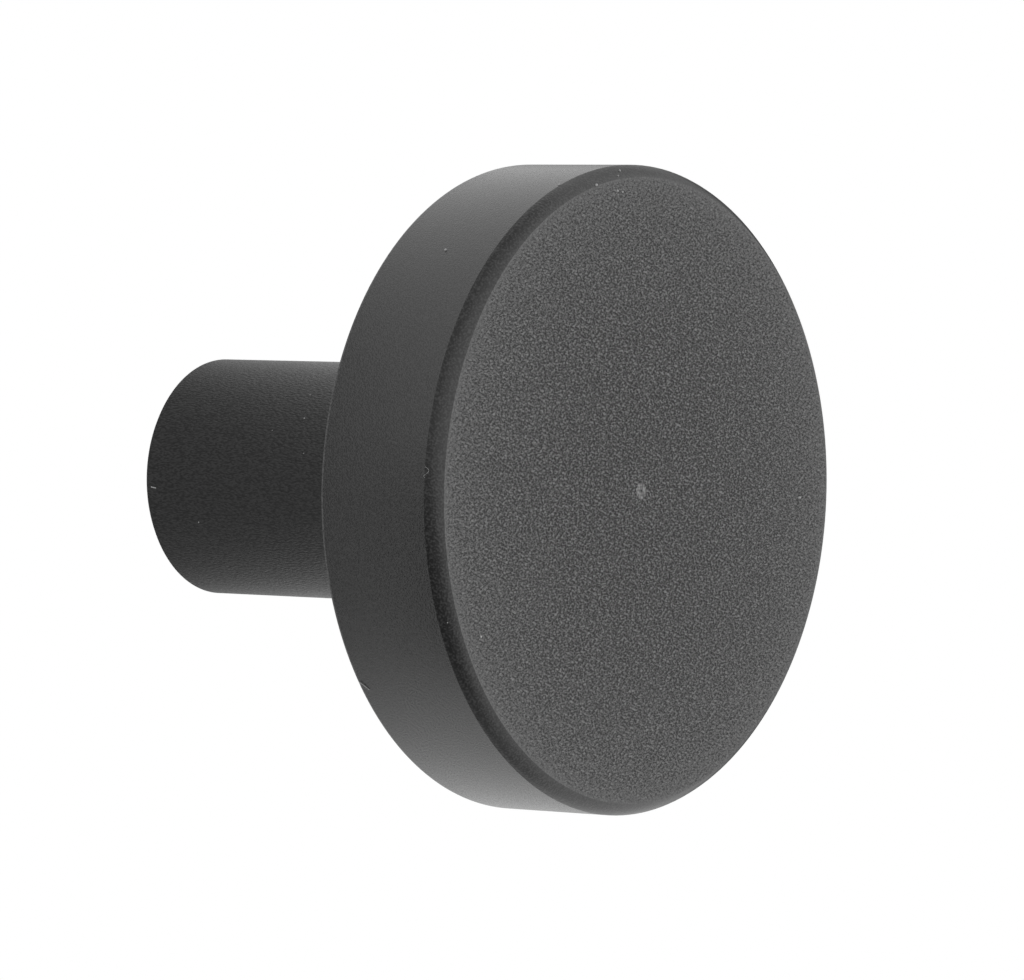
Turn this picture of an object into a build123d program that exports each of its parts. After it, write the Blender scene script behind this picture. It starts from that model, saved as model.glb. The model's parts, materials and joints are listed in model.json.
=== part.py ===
from build123d import *
import os
from math import radians, tan

# Cabinet knob: a flat disc head on a plain round stem, turned in one piece from aluminium bar.
# The axis lies along Y. The origin is the centre of the seat face, where the stem meets the door.
# The head's face looks to -Y, away from the door, and +Z is up. All lengths are in millimetres.

# Head and stem
head_diameter = 32.0
head_thickness = 7.2
stem_diameter = 12.0
stem_length = 20.0

# Edges
face_edge_width = 0.6  # front edge break, across the face
face_edge_depth = 0.75  # front edge break, along the rim
face_edge_bow = 0.08  # how far that break bulges past a straight chamfer
rim_back_radius = 0.2  # rim's back edge, dulled for the fingers
root_radius = 0.4  # corner between stem and head, left by the tool's nose
seat_edge_break = 0.2  # chamfer around the seat face

# Tapped hole for the fixing screw, M4 x 0.7
thread_diameter = 4.0
thread_pitch = 0.7
hole_depth = 14.0  # full-diameter depth, from the seat face
drill_point_angle = 118.0
countersink_margin = 0.1  # countersink past the thread, on the radius
countersink_angle = 90.0

# Derived sizes
head_radius = head_diameter / 2
stem_radius = stem_diameter / 2
head_back_y = -stem_length
face_y = head_back_y - head_thickness
tap_drill_radius = (thread_diameter - thread_pitch) / 2
countersink_radius = thread_diameter / 2 + countersink_margin
countersink_depth = (countersink_radius - tap_drill_radius) / tan(radians(countersink_angle / 2))
drill_point_length = tap_drill_radius / tan(radians(drill_point_angle / 2))

with BuildPart() as knob:
    # Half-section of the turned blank: X is the radius, Y the axis
    with BuildSketch(Plane.XY):
        with BuildLine():
            seat = Line((0, 0), (stem_radius, 0))
            stem_side = Line(seat @ 1, (stem_radius, head_back_y))
            head_back = Line(stem_side @ 1, (head_radius, head_back_y))
            rim = Line(head_back @ 1, (head_radius, face_y + face_edge_depth))
            face_edge = SagittaArc(rim @ 1, (head_radius - face_edge_width, face_y), face_edge_bow)
            face = Line(face_edge @ 1, (0, face_y))
            Line(face @ 1, seat @ 0)
        make_face()
    revolve(axis=Axis.Y)

    # Edges of the stem and of the head's back
    rings = knob.edges().filter_by(GeomType.CIRCLE).group_by(Axis.Y)
    root_ring, rim_back_ring = rings[-2].sort_by(SortBy.RADIUS)
    seat_ring = rings[-1]
    fillet(root_ring, radius=root_radius)
    fillet(rim_back_ring, radius=rim_back_radius)
    chamfer(seat_ring, length=seat_edge_break)

    # Blind hole from the seat face: countersink, tap-drilled wall and drill point
    with BuildSketch(Plane.XY):
        with BuildLine():
            mouth = Line((0, 0), (countersink_radius, 0))
            countersink = Line(mouth @ 1, (tap_drill_radius, -countersink_depth))
            hole_wall = Line(countersink @ 1, (tap_drill_radius, -hole_depth))
            drill_point = Line(hole_wall @ 1, (0, -hole_depth - drill_point_length))
            Line(drill_point @ 1, mouth @ 0)
        make_face()
    revolve(axis=Axis.Y, mode=Mode.SUBTRACT)

knob.part.label = "knob"

os.makedirs("parts", exist_ok=True)
export_step(knob.part, "parts/knob.step")
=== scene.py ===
"""A turned cabinet knob in a white studio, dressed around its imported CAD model.

The knob's axis lies along Y: the seat face is at the origin and the head looks to -Y. Sizes are
written in millimetres and become metres through MM. Angles round the axis start at +X and turn
towards +Z.
"""

import json
import logging
from dataclasses import dataclass
from enum import Enum
from math import asin, ceil, cos, hypot, pi, radians, sin, tan
from typing import Any

import bmesh
import bpy
from bmesh.types import BMEdge, BMesh
from bpy.types import Material, Node, NodeSocket, NodeTree, Object
from mathutils import Euler, Matrix, Vector


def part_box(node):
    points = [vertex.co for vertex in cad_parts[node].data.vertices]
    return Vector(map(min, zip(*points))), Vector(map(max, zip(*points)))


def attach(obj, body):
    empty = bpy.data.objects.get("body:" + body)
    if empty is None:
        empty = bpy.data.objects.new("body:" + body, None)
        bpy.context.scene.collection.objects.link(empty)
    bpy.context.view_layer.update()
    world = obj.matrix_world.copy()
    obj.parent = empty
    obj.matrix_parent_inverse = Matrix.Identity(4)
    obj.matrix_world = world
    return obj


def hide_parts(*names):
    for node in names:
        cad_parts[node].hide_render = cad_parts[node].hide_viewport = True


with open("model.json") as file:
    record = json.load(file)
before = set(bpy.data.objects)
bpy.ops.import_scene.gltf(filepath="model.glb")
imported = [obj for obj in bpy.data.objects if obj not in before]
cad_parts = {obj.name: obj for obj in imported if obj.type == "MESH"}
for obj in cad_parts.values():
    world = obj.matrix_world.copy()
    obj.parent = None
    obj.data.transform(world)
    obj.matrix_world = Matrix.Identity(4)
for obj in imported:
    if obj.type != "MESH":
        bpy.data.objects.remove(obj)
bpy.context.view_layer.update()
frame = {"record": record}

MM = 0.001
BODY = "root"
NODE = "knob"
WHITE = "#ffffff"
# The dyed oxide is a hard clear film over a dark ground, so it reflects as a matt dielectric does:
# dark face on, and pale where it is seen at a grazing angle
OXIDE_IOR = 1.65

log = logging.getLogger("knob_scene")


def linear(hex_colour: str) -> tuple[float, float, float, float]:
    """Turn an sRGB hex colour into linear RGBA.

    Args:
        hex_colour: six hex digits after a hash, such as "#2b2b2c".

    Returns:
        Red, green, blue and an alpha of 1.
    """
    srgb = [int(hex_colour[i : i + 2], 16) / 255 for i in (1, 3, 5)]
    rgb = [c / 12.92 if c <= 0.04045 else ((c + 0.055) / 1.055) ** 2.4 for c in srgb]
    return (*rgb, 1.0)


def add_node(
    tree: NodeTree,
    kind: str,
    settings: dict[str | int, Any] | None = None,
    links: dict[str | int, NodeSocket] | None = None,
) -> Node:
    """Add a node, give it its settings and link its inputs.

    Args:
        tree: the node tree to add to.
        kind: the node's type name.
        settings: values by property name, or by an input's name or number. "stops" gives a
            colour ramp its positions and colours.
        links: output sockets by the name or number of the input that each one feeds.

    Returns:
        The new node.
    """
    node = tree.nodes.new(kind)
    for key, value in (settings or {}).items():
        if key == "stops":
            marks = node.color_ramp.elements
            marks.remove(marks[1])
            for i, (position, colour) in enumerate(value):
                mark = marks.new(position) if i else marks[0]
                mark.position, mark.color = position, colour
        elif isinstance(key, str) and hasattr(node, key):
            setattr(node, key, value)
        else:
            node.inputs[key].default_value = value
    for key, socket in (links or {}).items():
        tree.links.new(socket, node.inputs[key])
    return node


def new_material(name: str) -> Material:
    """Make a material with an empty node tree.

    Args:
        name: the material's name.

    Returns:
        The material.
    """
    material = bpy.data.materials.new(name)
    material.use_nodes = True
    material.node_tree.nodes.clear()
    return material


def new_object(name: str, bm: BMesh, *materials: Material) -> Object:
    """Turn a bmesh into an object in the scene.

    Args:
        name: the object's name.
        bm: its mesh, which is freed.
        materials: its materials, in the order of the faces' indices.

    Returns:
        The object, at the origin.
    """
    mesh = bpy.data.meshes.new(name)
    bm.to_mesh(mesh)
    bm.free()
    for material in materials:
        mesh.materials.append(material)
    obj = bpy.data.objects.new(name, mesh)
    bpy.context.scene.collection.objects.link(obj)
    log.info("%s: %d faces", name, len(mesh.polygons))
    return obj


def bearing(azimuth: float, elevation: float) -> Vector:
    """Point from the knob towards a bearing in degrees: azimuth 0 is -Y, and 90 is +X."""
    a, e = radians(azimuth), radians(elevation)
    return Vector((sin(a) * cos(e), -cos(a) * cos(e), sin(e)))


def round_axis(angle: float, radius: float, y: float) -> Vector:
    """Place a point by its angle in degrees round the axis, its radius and its Y, in millimetres."""
    return Vector((radius * cos(radians(angle)), y, radius * sin(radians(angle)))) * MM


class Zone(Enum):
    """Stretches of the knob that were finished in their own way. The value is the material index."""

    FACE = 0
    EDGE = 1
    RIM = 2
    BACK = 3
    STEM = 4
    HOLE = 5
    PIP = 6
    # The brim carries a painted highlight: a pale grey line
    BRIM = 7


@dataclass(frozen=True)
class Finish:
    """A surface with a fine even grain in its colour, its roughness and its relief.

    Grain and depth are in millimetres. The heights low and high are where the grain is darkest and
    palest, and swing is how far the roughness strays. Stops by radius even the grain out towards one
    paler, smoother height: each stop is a radius in millimetres and the share that is evened out
    there. The pattern has its own dimensions, and its turn and its warp keep it from showing rows.
    """

    name: str
    dark: str
    pale: str
    roughness: float
    grain: float
    depth: float
    low: float = 0.35
    high: float = 0.65
    swing: float = 0.04
    ior: float = OXIDE_IOR
    pale_stops: tuple[tuple[float, float], ...] = ()
    pale_height: float = 0.5
    dimensions: str = "3D"
    warp: float = 0.0
    turn: tuple[float, float, float] = (0.6, 0.0, 0.9)

    def grains_per_metre(self) -> tuple[float, float, float]:
        """Count the grains along each axis."""
        return (1 / (self.grain * MM),) * 3

    def texture(self, tree: NodeTree) -> NodeSocket:
        """Lay the grain over the surface.

        Args:
            tree: the material's nodes.

        Returns:
            The grain's height, about 0.5 on average.
        """
        coords = add_node(tree, "ShaderNodeTexCoord")
        mapping = add_node(
            tree,
            "ShaderNodeMapping",
            {"Scale": self.grains_per_metre(), "Rotation": self.turn},
            {"Vector": coords.outputs["Object"]},
        )
        noise = add_node(
            tree,
            "ShaderNodeTexNoise",
            {
                "noise_dimensions": self.dimensions,
                "Scale": 1.0,
                "Detail": 0.0,
                "Distortion": self.warp,
            },
            {"Vector": mapping.outputs["Vector"]},
        )
        return noise.outputs["Fac"]

    def pale_by_radius(self, tree: NodeTree, height: NodeSocket) -> NodeSocket:
        """Even the grain out, paler and smoother, by the distance from the axis.

        Args:
            tree: the material's nodes.
            height: the grain's height.

        Returns:
            The height, evened out.
        """
        reach = self.pale_stops[-1][0]
        coords = add_node(tree, "ShaderNodeTexCoord")
        flat = add_node(
            tree,
            "ShaderNodeVectorMath",
            {"operation": "MULTIPLY", 1: Vector((1, 0, 1)) / (reach * MM)},
            {0: coords.outputs["Object"]},
        )
        away = add_node(
            tree, "ShaderNodeVectorMath", {"operation": "LENGTH"}, {0: flat.outputs["Vector"]}
        )
        share = add_node(
            tree,
            "ShaderNodeValToRGB",
            {"stops": [(radius / reach, (paled, paled, paled, 1)) for radius, paled in self.pale_stops]},
            {"Fac": away.outputs["Value"]},
        )
        even = add_node(
            tree, "ShaderNodeMix", {"B": self.pale_height}, {"Factor": share.outputs["Color"], "A": height}
        )
        return even.outputs["Result"]

    def material(self) -> Material:
        """Build the material.

        Returns:
            The material, with its grain in the colour, the roughness and the bump.
        """
        material = new_material(self.name)
        tree = material.node_tree
        height = self.texture(tree)
        if self.pale_stops:
            height = self.pale_by_radius(tree, height)
        colour = add_node(
            tree,
            "ShaderNodeValToRGB",
            {"stops": [(self.low, linear(self.dark)), (self.high, linear(self.pale))]},
            {"Fac": height},
        )
        rough = add_node(
            tree,
            "ShaderNodeMapRange",
            {"To Min": self.roughness - self.swing, "To Max": self.roughness + self.swing},
            {"Value": height},
        )
        bump = add_node(tree, "ShaderNodeBump", {"Distance": self.depth * MM}, {"Height": height})
        shader = add_node(
            tree,
            "ShaderNodeBsdfPrincipled",
            {"IOR": self.ior},
            {
                "Base Color": colour.outputs["Color"],
                "Roughness": rough.outputs["Result"],
                "Normal": bump.outputs["Normal"],
            },
        )
        add_node(tree, "ShaderNodeOutputMaterial", links={"Surface": shader.outputs["BSDF"]})
        return material


@dataclass(frozen=True)
class BlastedFinish(Finish):
    """A blasted skin: pits laid flat in the face, longer along X because the jet came at a slant."""

    slant: float = 1.75
    dimensions: str = "2D"
    warp: float = 0.6
    # The quarter turn about X lays the pattern's plane on the face
    turn: tuple[float, float, float] = (-pi / 2, 0.0, 0.6)

    def grains_per_metre(self) -> tuple[float, float, float]:
        """Count the pits along each axis."""
        across = 1 / (self.grain * MM)
        return (across / self.slant, across, across)


@dataclass(frozen=True)
class DrawnFinish(Finish):
    """A bar's drawn skin: fine streaks along the axis."""

    streak: float = 0.2

    def grains_per_metre(self) -> tuple[float, float, float]:
        """Count the streaks across the axis and along it."""
        across = 1 / (self.grain * MM)
        return (across, 1 / (self.streak * MM), across)


@dataclass(frozen=True)
class FacedFinish(Finish):
    """A face turned by a point tool: faint rings, one for each feed of the tool, that waver a little."""

    waver: float = 1.5
    waver_detail: float = 2.0
    waver_scale: float = 0.4

    def texture(self, tree: NodeTree) -> NodeSocket:
        """Lay the tool's rings round the axis.

        Args:
            tree: the material's nodes.

        Returns:
            The rings' height.
        """
        coords = add_node(tree, "ShaderNodeTexCoord")
        # A wave of scale 1 has a ring to every pi / 10 of a metre
        wave = add_node(
            tree,
            "ShaderNodeTexWave",
            {
                "wave_type": "RINGS",
                "rings_direction": "Y",
                "Scale": pi / 10 / (self.grain * MM),
                "Distortion": self.waver,
                "Detail": self.waver_detail,
                "Detail Scale": self.waver_scale,
            },
            {"Vector": coords.outputs["Object"]},
        )
        return wave.outputs["Fac"]


FINISHES = {
    # Blasted and dyed: dull black, its grain's pale specks painted glints; paler and smoother towards
    # the rim
    Zone.FACE: BlastedFinish(
        "anodised_aluminium_blasted",
        "#000000",
        "#828282",
        roughness=0.42,
        grain=0.09,
        depth=0.2,
        low=0.44,
        high=0.78,
        ior=1.6,
        pale_stops=((5.0, 0.0), (9.0, 0.16), (11.0, 0.27), (13.0, 0.39), (14.5, 0.52), (15.3, 0.72)),
        pale_height=0.59,
    ),
    # Turned to a satin, with a painted highlight: paler where the edge meets the face
    Zone.EDGE: Finish(
        "anodised_aluminium_satin_edge",
        "#000000",
        "#323232",
        roughness=0.3,
        grain=0.1,
        depth=0.012,
        low=0.45,
        high=0.75,
        pale_stops=((15.4, 0.4), (15.5, 0.2), (15.7, 0.0)),
        pale_height=0.9,
    ),
    Zone.RIM: Finish(
        "anodised_aluminium_satin", "#000000", "#2c2c2c", roughness=0.275, grain=0.08, depth=0.012
    ),
    # Faced with a point tool: faint rings that catch the light in turn
    Zone.BACK: FacedFinish(
        "anodised_aluminium_faced", "#0c0c0c", "#262626", roughness=0.36, grain=0.15, depth=0.004
    ),
    # Drawn bar: short fine streaks along the stem
    Zone.STEM: DrawnFinish(
        "anodised_aluminium_drawn",
        "#060606",
        "#2a2a2a",
        roughness=0.365,
        grain=0.07,
        depth=0.038,
        ior=1.6,
    ),
    Zone.HOLE: Finish(
        "anodised_aluminium_tapped", "#141414", "#1e1e1e", roughness=0.34, grain=0.1, depth=0.002
    ),
    # Rubbed bright by the tool's tip, where the cut ended
    Zone.PIP: Finish(
        "anodised_aluminium_burnished", "#484848", "#8c8c8c", roughness=0.34, grain=0.12, depth=0.02
    ),
    # Painted highlight: a pale grey line on the lip at the face's edge and on the rim's rounded back
    # edge
    Zone.BRIM: Finish(
        "anodised_aluminium_painted_highlight", "#3a3a3a", "#5a5a5a", roughness=0.3, grain=0.1, depth=0.005
    ),
}
DUST = Finish("cotton_dust", "#8c8c8c", "#c8c8c8", roughness=0.85, grain=0.03, depth=0.004, ior=1.5)


@dataclass
class Knob:
    """Disc head, stem and tapped hole, turned as one piece. Lengths are in millimetres."""

    head_radius: float
    projection: float
    hole_radius: float
    hole_depth: float
    stem_radius: float = 6.0
    stem_length: float = 20.0
    face_edge_width: float = 0.6
    face_edge_depth: float = 0.75
    face_edge_bow: float = 0.08
    rim_back_radius: float = 0.2
    root_radius: float = 0.4
    seat_edge_break: float = 0.2
    thread_radius: float = 2.0
    thread_pitch: float = 0.7
    thread_length: float = 11.0
    mouth_radius: float = 2.1
    seat_ring_radius: float = 4.0
    drill_point_angle: float = 118.0
    lip_width: float = 0.12
    pip_radius: float = 0.4
    pip_depth: float = 0.012
    dot_radius: float = 0.07
    dot_depth: float = 0.1
    spin_steps: int = 192
    round_segments: int = 8
    overrun: int = 2
    weld: float = 0.0005
    crease: float = radians(15)

    def turn(self, bm: BMesh, zone: Zone, points: list[tuple[float, float]], rise: float = 0.0) -> None:
        """Spin a stretch of the half-section once round the axis.

        Args:
            bm: the mesh to add to.
            zone: the finish of the stretch.
            points: radius and Y of each point.
            rise: how far the turn climbs along Y, for a helix.
        """
        verts = [bm.verts.new((radius, y, 0)) for radius, y in points]
        edges = [bm.edges.new(pair) for pair in zip(verts, verts[1:])]
        old = set(bm.faces)
        bmesh.ops.spin(
            bm,
            geom=verts + edges,
            cent=(0, 0, 0),
            axis=(0, 1, 0),
            dvec=(0, rise / self.spin_steps, 0),
            angle=2 * pi,
            steps=self.spin_steps,
            use_merge=not rise,
        )
        for face in set(bm.faces) - old:
            face.material_index = zone.value

    def face_edge(self, steps: int = 10) -> list[tuple[float, float]]:
        """Draw the bowed break between rim and face.

        Args:
            steps: how many chords stand for the arc.

        Returns:
            Radius and Y of each point, from the rim to the face.
        """
        start = Vector((self.head_radius, self.face_edge_depth - self.projection))
        end = Vector((self.head_radius - self.face_edge_width, -self.projection))
        half = (end - start) / 2
        radius = (half.length_squared + self.face_edge_bow**2) / (2 * self.face_edge_bow)
        along = half.normalized()
        inward = Vector((along.y, -along.x))
        centre = start + half + inward * (radius - self.face_edge_bow)
        reach = asin(half.length / radius)
        turns = [reach * (2 * i / steps - 1) for i in range(steps + 1)]
        return [tuple(centre + radius * (along * sin(t) - inward * cos(t))) for t in turns]

    def turn_outside(self, bm: BMesh) -> None:
        """Turn the stem and the head, down to the pip that the tool left in the face's middle.

        Args:
            bm: the mesh to add to.
        """
        back_y, face_y = -self.stem_length, -self.projection
        pip_y = face_y + self.pip_depth
        edge = self.face_edge()
        self.turn(bm, Zone.BACK, [(self.seat_ring_radius, 0), (self.stem_radius, 0)])
        self.turn(bm, Zone.STEM, [(self.stem_radius, 0), (self.stem_radius, back_y)])
        self.turn(bm, Zone.BACK, [(self.stem_radius, back_y), (self.head_radius, back_y)])
        self.turn(bm, Zone.RIM, [(self.head_radius, back_y), edge[0]])
        self.turn(bm, Zone.EDGE, edge)
        lip = (edge[-1][0] - self.lip_width, face_y)
        # The lip is a pale line, a painted highlight at the face's edge
        self.turn(bm, Zone.BRIM, [edge[-1], lip])
        self.turn(bm, Zone.FACE, [lip, (self.pip_radius, face_y)])
        pip = [
            (self.pip_radius, face_y),
            (self.pip_radius - self.pip_depth, pip_y),
            (self.dot_radius, pip_y),
        ]
        self.turn(bm, Zone.PIP, pip)
        self.turn(bm, Zone.HOLE, [(self.dot_radius, pip_y), (0, pip_y + self.dot_depth)])

    def cut_thread(self, bm: BMesh) -> None:
        """Cut the hole's wall as one right-handed helix, with a countersink and a plain run-out.

        Args:
            bm: the mesh to add to.
        """
        pitch = self.thread_pitch
        # The metric profile: flanks 60 degrees apart, and a root an eighth of the pitch wide
        flank = (self.thread_radius - self.hole_radius) * tan(radians(30))
        root = pitch / 8
        groove = (
            (self.hole_radius, 0),
            (self.thread_radius, flank),
            (self.thread_radius, flank + root),
            (self.hole_radius, 2 * flank + root),
        )
        # Whole turns run past both ends, and the planes below trim them
        turns = ceil(self.hole_depth / pitch) + 2 * self.overrun
        tops = [(self.overrun - i) * pitch for i in range(turns)]
        points = [(radius, top - drop) for top in tops for radius, drop in groove]
        old = set(bm.verts)
        self.turn(bm, Zone.HOLE, points, rise=pitch)
        bmesh.ops.remove_doubles(bm, verts=list(set(bm.verts) - old), dist=self.weld)
        for vert in set(bm.verts) - old:
            radius = hypot(vert.co.x, vert.co.z)
            share = min(max((self.thread_length + vert.co.y) / pitch, 0), 1)
            wanted = self.hole_radius + (radius - self.hole_radius) * share
            wanted = max(wanted, self.mouth_radius + vert.co.y)
            vert.co.x *= wanted / radius
            vert.co.z *= wanted / radius
        for y, way in ((0, 1), (-self.hole_depth, -1)):
            verts = set(bm.verts) - old
            edges = [e for e in bm.edges if e.verts[0] in verts]
            faces = [f for f in bm.faces if f.verts[0] in verts]
            bmesh.ops.bisect_plane(
                bm,
                geom=[*verts, *edges, *faces],
                dist=self.weld / 10,
                plane_co=(0, y, 0),
                plane_no=(0, way, 0),
                clear_outer=True,
            )

    def tap(self, bm: BMesh) -> None:
        """Cut the blind hole, close it with the drill's point and join its mouth to the seat face.

        Args:
            bm: the mesh to add to.
        """
        self.cut_thread(bm)
        bmesh.ops.remove_doubles(bm, verts=bm.verts, dist=self.weld)
        rims = [e for e in bm.edges if e.is_boundary]
        mouth = [e for e in rims if e.verts[0].co.y > -self.weld]
        point_y = -self.hole_depth - self.hole_radius / tan(radians(self.drill_point_angle / 2))
        point = bm.verts.new((0, point_y, 0))
        for edge in set(rims) - set(mouth):
            bm.faces.new((*edge.verts, point)).material_index = Zone.HOLE.value
        old = set(bm.faces)
        bmesh.ops.triangle_fill(bm, use_beauty=True, edges=mouth, normal=(0, 1, 0))
        for face in set(bm.faces) - old:
            face.material_index = Zone.BACK.value

    def ring(self, bm: BMesh, radius: float, y: float) -> list[BMEdge]:
        """Find the edges of a ring round the axis.

        Args:
            bm: the mesh to search.
            radius: the ring's radius.
            y: the ring's Y.

        Returns:
            The ring's edges.
        """
        return [
            e
            for e in bm.edges
            if all(
                abs(hypot(v.co.x, v.co.z) - radius) < self.weld and abs(v.co.y - y) < self.weld
                for v in e.verts
            )
        ]

    def break_edges(self, bm: BMesh) -> None:
        """Chamfer the seat's edge, and round the stem's root and the rim's back edge.

        Args:
            bm: the mesh to change.
        """
        breaks = (
            (Zone.STEM, self.stem_radius, 0, self.seat_edge_break, 1),
            (Zone.BACK, self.stem_radius, -self.stem_length, self.root_radius, self.round_segments),
            # The rim's rounded back edge takes the brim's pale line, a painted highlight
            (Zone.BRIM, self.head_radius, -self.stem_length, self.rim_back_radius, self.round_segments),
        )
        for zone, radius, y, size, segments in breaks:
            made = bmesh.ops.bevel(
                bm,
                geom=self.ring(bm, radius, y),
                offset=size,
                offset_type="OFFSET",
                segments=segments,
                profile=0.5,
                affect="EDGES",
                material=-1,
            )
            for face in made["faces"]:
                face.material_index = zone.value

    def build(self) -> Object:
        """Model the knob.

        Returns:
            The knob's object, smooth but for its creases.
        """
        bm = bmesh.new()
        self.turn_outside(bm)
        self.tap(bm)
        self.break_edges(bm)
        bmesh.ops.recalc_face_normals(bm, faces=bm.faces)
        for face in bm.faces:
            face.smooth = True
        for edge in bm.edges:
            edge.smooth = edge.calc_face_angle(0.0) < self.crease
        log.info("edges without two faces: %d", sum(not e.is_manifold for e in bm.edges))
        bmesh.ops.scale(bm, vec=(MM,) * 3, verts=bm.verts)
        return new_object("knob_body", bm, *(FINISHES[zone].material() for zone in Zone))

    def dress(self, piece: Object) -> None:
        """Put the knob in the CAD node's place.

        Args:
            piece: the knob's object.
        """
        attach(piece, BODY)
        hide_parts(NODE)


@dataclass(frozen=True)
class Fibre:
    """A fibre of lint: its thickness beside the others, and its path.

    Each point of the path is an angle round the axis, a radius and a Y.
    """

    thickness: float
    path: tuple[tuple[float, float, float], ...]


@dataclass
class Dust:
    """Specks and fibres that have settled on the knob.

    A speck is an angle round the axis, a radius, a Y and a size.
    """

    specks: tuple[tuple[float, float, float, float], ...] = (
        (356.5, 13.1, -27.2, 0.085),
        (207.5, 14.2, -27.2, 0.06),
        (97.5, 14.85, -27.2, 0.06),
        (96.0, 14.75, -27.2, 0.06),
        (103.5, 15.45, -27.2, 0.065),
        (95.0, 15.77, -26.9, 0.05),
        (96.5, 15.56, -27.1, 0.04),
        (201.5, 15.8, -26.85, 0.025),
        (110.0, 16.0, -26.35, 0.07),
        (132.0, 16.0, -23.5, 0.075),
        (200.0, 6.0, -3.35, 0.033),
        (132.0, 6.0, -9.35, 0.04),
        (146.5, 6.0, -9.8, 0.045),
        (153.5, 6.0, -8.0, 0.024),
        (164.5, 6.0, -10.4, 0.028),
    )
    speck_shape: tuple[float, float, float] = (1.3, 0.8, 1.0)
    fibres: tuple[Fibre, ...] = (
        # A thread across the rim's back edge
        Fibre(
            1.0,
            (
                (214.1, 16.06, -20.2),
                (214.5, 16.05, -20.35),
                (215.1, 16.03, -20.45),
                (215.8, 16.02, -20.6),
            ),
        ),
        # A curl on the rim, beside the face's edge
        Fibre(
            0.4,
            (
                (174.0, 16.0, -26.45),
                (174.3, 15.95, -26.65),
                (174.9, 15.95, -26.65),
                (175.3, 16.0, -26.5),
                (175.6, 16.05, -26.4),
                (175.9, 16.0, -26.5),
            ),
        ),
        # A hair on the stem, near the seat face
        Fibre(1.4, ((183.2, 6.02, -0.5), (183.4, 6.03, -0.65), (183.6, 6.02, -0.8))),
    )
    fibre_radius: float = 0.022

    def build_specks(self) -> Object:
        """Scatter the specks, each turned and drawn out in its own way.

        Returns:
            One object with every speck.
        """
        bm = bmesh.new()
        for angle, radius, y, size in self.specks:
            spot = round_axis(angle, radius, y)
            place = Matrix.LocRotScale(spot, Euler((angle, 2 * angle, 0)), Vector(self.speck_shape))
            bmesh.ops.create_icosphere(bm, subdivisions=2, radius=size * MM, matrix=place)
        for face in bm.faces:
            face.smooth = True
        return new_object("dust_specks", bm, DUST.material())

    def build_lint(self) -> Object:
        """Lay the fibres, the curled one thinnest.

        Returns:
            One curve object with every fibre.
        """
        curve = bpy.data.curves.new("lint", "CURVE")
        curve.dimensions = "3D"
        curve.bevel_depth = self.fibre_radius * MM
        curve.bevel_resolution = 2
        curve.use_fill_caps = True
        for fibre in self.fibres:
            spline = curve.splines.new("NURBS")
            spline.points.add(len(fibre.path) - 1)
            for point, place in zip(spline.points, fibre.path):
                point.co = (*round_axis(*place), 1.0)
                point.radius = fibre.thickness
            spline.use_endpoint_u = True
            spline.order_u = 3
        curve.materials.append(DUST.material())
        lint = bpy.data.objects.new("lint", curve)
        bpy.context.scene.collection.objects.link(lint)
        log.info("lint: %d fibres", len(curve.splines))
        return lint

    def build(self) -> None:
        """Settle the dust on the knob."""
        for piece in (self.build_specks(), self.build_lint()):
            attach(piece, BODY)


def background_rays(tree: NodeTree) -> NodeSocket:
    """Tell the rays that show the background from those that only carry its light.

    Args:
        tree: the node tree to add to.

    Returns:
        1 for a ray from the camera, in a reflection or through glass, and 0 for any other.
    """
    path = add_node(tree, "ShaderNodeLightPath")
    shown = path.outputs["Is Camera Ray"]
    for kind in ("Is Glossy Ray", "Is Transmission Ray"):
        either = add_node(
            tree, "ShaderNodeMath", {"operation": "MAXIMUM"}, {0: shown, 1: path.outputs[kind]}
        )
        shown = either.outputs["Value"]
    return shown


@dataclass(frozen=True)
class Paper:
    """Matt white paper, which only scatters light and looks a little brighter than it lights."""

    name: str
    colour: str
    glow: float
    roughness: float = 0.9

    def material(self) -> Material:
        """Build the material.

        Returns:
            The material, whose glow is seen but lights nothing.
        """
        material = new_material(self.name)
        tree = material.node_tree
        glow = add_node(
            tree, "ShaderNodeMapRange", {"To Max": self.glow}, {"Value": background_rays(tree)}
        )
        shader = add_node(
            tree,
            "ShaderNodeBsdfPrincipled",
            {
                "Base Color": linear(self.colour),
                "Roughness": self.roughness,
                "Emission Color": linear(WHITE),
            },
            {"Emission Strength": glow.outputs["Result"]},
        )
        add_node(tree, "ShaderNodeOutputMaterial", links={"Surface": shader.outputs["BSDF"]})
        return material


def fade(
    tree: NodeTree, centre: tuple[float, float, float], core: float, radius: float, level: float
) -> NodeSocket:
    """Fade smoothly from a dim level to full strength with the distance from a point.

    Args:
        tree: the node tree to add to.
        centre: the point, in millimetres.
        core: how far the dim level reaches.
        radius: where full strength begins.
        level: the dim level.

    Returns:
        The strength.
    """
    coords = add_node(tree, "ShaderNodeTexCoord")
    away = add_node(
        tree,
        "ShaderNodeVectorMath",
        {"operation": "DISTANCE", 1: Vector(centre) * MM},
        {0: coords.outputs["Object"]},
    )
    strength = add_node(
        tree,
        "ShaderNodeMapRange",
        {
            "interpolation_type": "SMOOTHSTEP",
            "From Min": core * MM,
            "From Max": radius * MM,
            "To Min": level,
        },
        {"Value": away.outputs["Value"]},
    )
    return strength.outputs["Result"]


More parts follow.
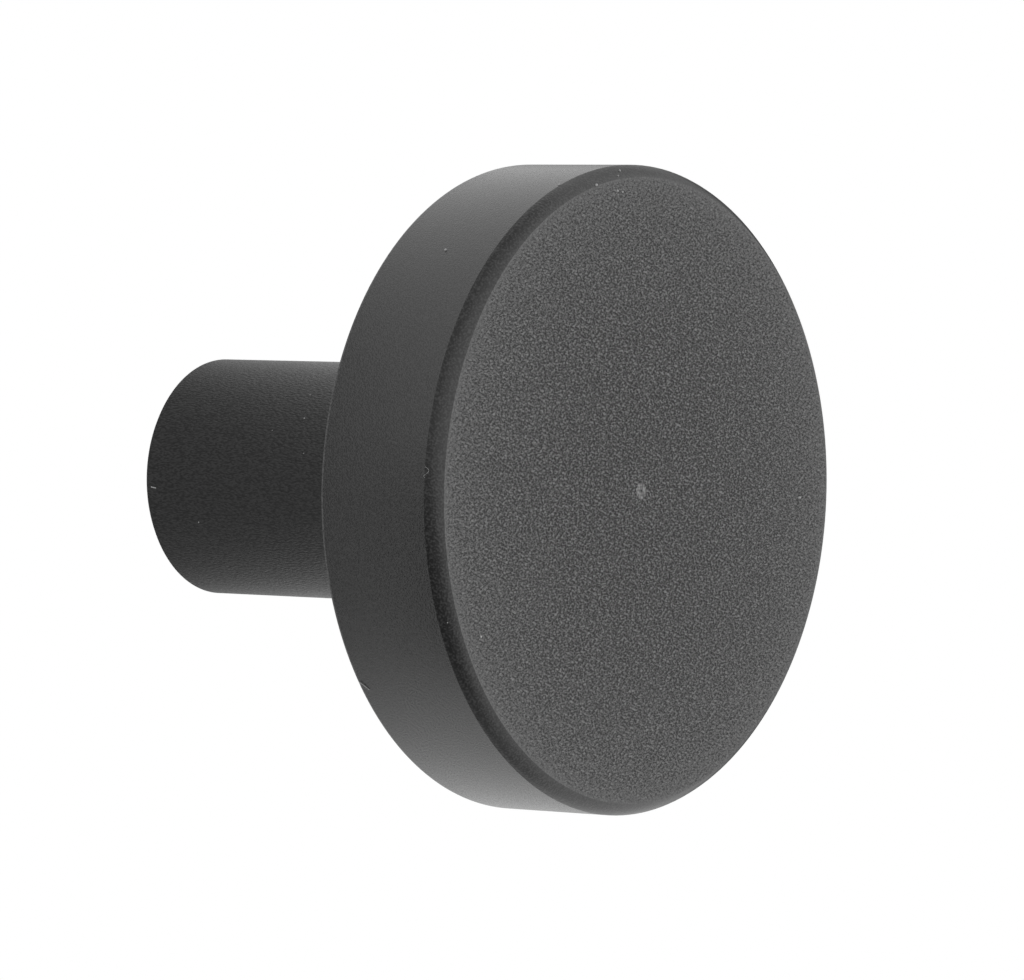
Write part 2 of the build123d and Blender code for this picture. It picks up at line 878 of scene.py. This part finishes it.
@dataclass(frozen=True)
class GreyCard:
    """A round card that reflections see: grey in the middle, and white as the room at its edge.

    It faces the knob's origin unless it has a facing of its own. Lengths are in millimetres.
    """

    name: str
    centre: tuple[float, float, float]
    radius: float
    core: float
    level: float
    facing: tuple[float, float, float] | None = None
    segments: int = 64

    def material(self) -> Material:
        """Build the graded glow.

        Returns:
            The material, measured from the card's centre.
        """
        material = new_material(self.name)
        tree = material.node_tree
        level = fade(tree, self.centre, self.core, self.radius, self.level)
        light = add_node(tree, "ShaderNodeEmission", links={"Strength": level})
        add_node(tree, "ShaderNodeOutputMaterial", links={"Surface": light.outputs["Emission"]})
        return material

    def build(self) -> Object:
        """Cut the card and stand it in its place.

        Returns:
            The card's object.
        """
        bm = bmesh.new()
        bmesh.ops.create_circle(bm, cap_ends=True, segments=self.segments, radius=self.radius * MM)
        facing = Vector(self.facing) if self.facing else -Vector(self.centre)
        turn = facing.to_track_quat("Z", "Y").to_matrix()
        bmesh.ops.rotate(bm, cent=(0, 0, 0), matrix=turn, verts=bm.verts)
        bmesh.ops.translate(bm, vec=Vector(self.centre) * MM, verts=bm.verts)
        return new_object(self.name, bm, self.material())


@dataclass(frozen=True)
class Tent:
    """A light tent on the camera's side, bright in front of the knob and dim at its waist.

    Each stop of the grade is a place along the axis, from 0 behind to 1 in front, and a level.
    Rear and side are where it is cut open, as shares of its radius.
    """

    name: str = "light_tent"
    radius: float = 600.0
    axis: tuple[float, float, float] = (0.0, -0.99, -0.015)
    rear: float = 0.25
    side: float = 0.3
    grade: tuple[tuple[float, float], ...] = (
        (0.38, 0.63),
        (0.45, 0.85),
        (0.53, 0.31),
        (0.6, 0.51),
        (0.7, 0.69),
        (0.85, 1.0),
        (1.0, 1.0),
    )
    dim_at: tuple[float, float, float] = (-463.0, -189.0, -330.0)
    dim_core: float = 266.0
    dim_radius: float = 487.0
    dim_level: float = 0.41
    segments: int = 64

    def material(self) -> Material:
        """Build the graded glow.

        Returns:
            The material, measured along the tent's axis.
        """
        material = new_material("nylon_tent")
        tree = material.node_tree
        coords = add_node(tree, "ShaderNodeTexCoord")
        along = add_node(
            tree,
            "ShaderNodeVectorMath",
            {"operation": "DOT_PRODUCT", 1: Vector(self.axis).normalized()},
            {0: coords.outputs["Object"]},
        )
        reach = self.radius * MM
        place = add_node(
            tree,
            "ShaderNodeMapRange",
            {"From Min": -reach, "From Max": reach},
            {"Value": along.outputs["Value"]},
        )
        ramp = add_node(
            tree,
            "ShaderNodeValToRGB",
            {"stops": [(position, (level, level, level, 1)) for position, level in self.grade]},
            {"Fac": place.outputs["Result"]},
        )
        strength = fade(tree, self.dim_at, self.dim_core, self.dim_radius, self.dim_level)
        light = add_node(
            tree, "ShaderNodeEmission", links={"Color": ramp.outputs["Color"], "Strength": strength}
        )
        add_node(tree, "ShaderNodeOutputMaterial", links={"Surface": light.outputs["Emission"]})
        return material

    def build(self) -> Object:
        """Pitch the tent, open towards the right and the rear.

        Returns:
            The tent's object.
        """
        bm = bmesh.new()
        bmesh.ops.create_uvsphere(
            bm, u_segments=self.segments, v_segments=self.segments // 2, radius=self.radius * MM
        )
        for way, reach in ((Vector((1, 0, 0)), self.side), (Vector((0, 1, 0)), self.rear)):
            bmesh.ops.bisect_plane(
                bm,
                geom=[*bm.verts, *bm.edges, *bm.faces],
                plane_co=way * reach * self.radius * MM,
                plane_no=way,
                clear_outer=True,
            )
        return new_object(self.name, bm, self.material())


@dataclass
class Studio:
    """White surround, floor, lamp, reflected cards and camera. Lengths are in millimetres."""

    ambient: float = 0.65
    camera_azimuth: float = -51.485
    camera_elevation: float = 2.536
    camera_distance: float = 384.05
    camera_lens: float = 268.82
    camera_sensor: float = 36.0
    camera_clip: tuple[float, float] = (10.0, 10000.0)
    aim: tuple[float, float, float] = (0.0, -13.5, 0.0)
    aim_right: float = 4.362
    aim_up: float = -0.339
    floor_drop: float = 60.0
    floor_radius: float = 280.0
    floor_segments: int = 96
    floor_paper: Paper = Paper("white_paper_floor", "#e6e6e6", glow=0.39)
    lamp_azimuth: float = 40.0
    lamp_elevation: float = 45.0
    lamp_distance: float = 900.0
    lamp_size: float = 600.0
    lamp_power: float = 1.6
    cards: tuple[GreyCard | Tent, ...] = (
        GreyCard(
            "shadow_card",
            (-16.0, 13.0, -1.0),
            radius=55.5,
            core=20.5,
            level=0.32,
            facing=(0.0, -1.0, 0.0),
        ),
        GreyCard("dusk_card", (-427.0, 340.0, -206.0), radius=527.0, core=180.0, level=0.1),
        GreyCard("roof_card", (468.0, 90.0, 348.0), radius=260.0, core=150.0, level=0.6),
        GreyCard("flank_card", (535.0, 165.0, 0.0), radius=270.0, core=200.0, level=0.12),
        Tent(),
    )

    def place_camera(self) -> None:
        """Stand the camera where the photograph was taken from."""
        back = bearing(self.camera_azimuth, self.camera_elevation)
        right = Vector((0, 0, 1)).cross(back).normalized()
        up = back.cross(right)
        data = bpy.data.cameras.new("camera")
        data.lens = self.camera_lens
        data.sensor_width = self.camera_sensor
        data.clip_start, data.clip_end = (reach * MM for reach in self.camera_clip)
        camera = bpy.data.objects.new("camera", data)
        target = Vector(self.aim) + self.aim_right * right + self.aim_up * up
        camera.location = (target + self.camera_distance * back) * MM
        camera.rotation_euler = (-back).to_track_quat("-Z", "Y").to_euler()
        bpy.context.scene.collection.objects.link(camera)
        bpy.context.scene.camera = camera

    def light_world(self) -> None:
        """Surround the knob with white, dimmer as a light than as a background."""
        world = bpy.data.worlds.new("white_surround")
        world.use_nodes = True
        tree = world.node_tree
        tree.nodes.clear()
        level = add_node(
            tree, "ShaderNodeMapRange", {"To Min": self.ambient}, {"Value": background_rays(tree)}
        )
        light = add_node(
            tree,
            "ShaderNodeBackground",
            {"Color": linear(WHITE)},
            {"Strength": level.outputs["Result"]},
        )
        add_node(tree, "ShaderNodeOutputWorld", links={"Surface": light.outputs["Background"]})
        bpy.context.scene.world = world

    def hang_lamp(self) -> None:
        """Hang a large soft lamp in front, to the right and above."""
        data = bpy.data.lights.new("soft_lamp", "AREA")
        data.shape = "DISK"
        data.size = self.lamp_size * MM
        data.energy = self.lamp_power
        lamp = bpy.data.objects.new("soft_lamp", data)
        way = bearing(self.lamp_azimuth, self.lamp_elevation)
        lamp.location = way * self.lamp_distance * MM
        lamp.rotation_euler = (-way).to_track_quat("-Z", "Y").to_euler()
        lamp.visible_glossy = False
        bpy.context.scene.collection.objects.link(lamp)

    def lay_floor(self) -> None:
        """Lay a round white floor under the knob, wide enough for its shadow."""
        bm = bmesh.new()
        bmesh.ops.create_circle(
            bm, cap_ends=True, segments=self.floor_segments, radius=self.floor_radius * MM
        )
        bmesh.ops.translate(bm, vec=(0, self.aim[1] * MM, -self.floor_drop * MM), verts=bm.verts)
        floor = new_object("floor", bm, self.floor_paper.material())
        floor.visible_glossy = False

    def stand_cards(self) -> None:
        """Stand the tent and the cards that shape the knob's reflections."""
        for card in self.cards:
            obj = card.build()
            obj.visible_camera = False
            obj.visible_diffuse = False
            obj.visible_shadow = False

    def build(self) -> None:
        """Set up the light, the stage and the camera."""
        bpy.context.scene.view_settings.view_transform = "Standard"
        self.light_world()
        self.hang_lamp()
        self.lay_floor()
        self.stand_cards()
        self.place_camera()


def sizes_from_frame() -> dict[str, float]:
    """Read the knob's outer sizes and its hole from the frame.

    Returns:
        Values for Knob's fields, in millimetres.
    """
    low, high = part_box(NODE)
    hole = next(m for m in frame["record"]["mounts"] if m["name"] == "screw_hole")
    return {
        "head_radius": round((high.x - low.x) / MM, 1) / 2,
        "projection": round((high.y - low.y) / MM, 1),
        "hole_radius": hole["dims"]["r_mm"],
        "hole_depth": hole["dims"]["length_mm"] - hole["pos_m"][1] / MM,
    }


def main() -> None:
    """Build the knob and its studio."""
    logging.basicConfig(level=logging.INFO, format="%(message)s")
    knob = Knob(**sizes_from_frame())
    knob.dress(knob.build())
    Dust().build()
    Studio().build()


if __name__ == "__main__":
    main()
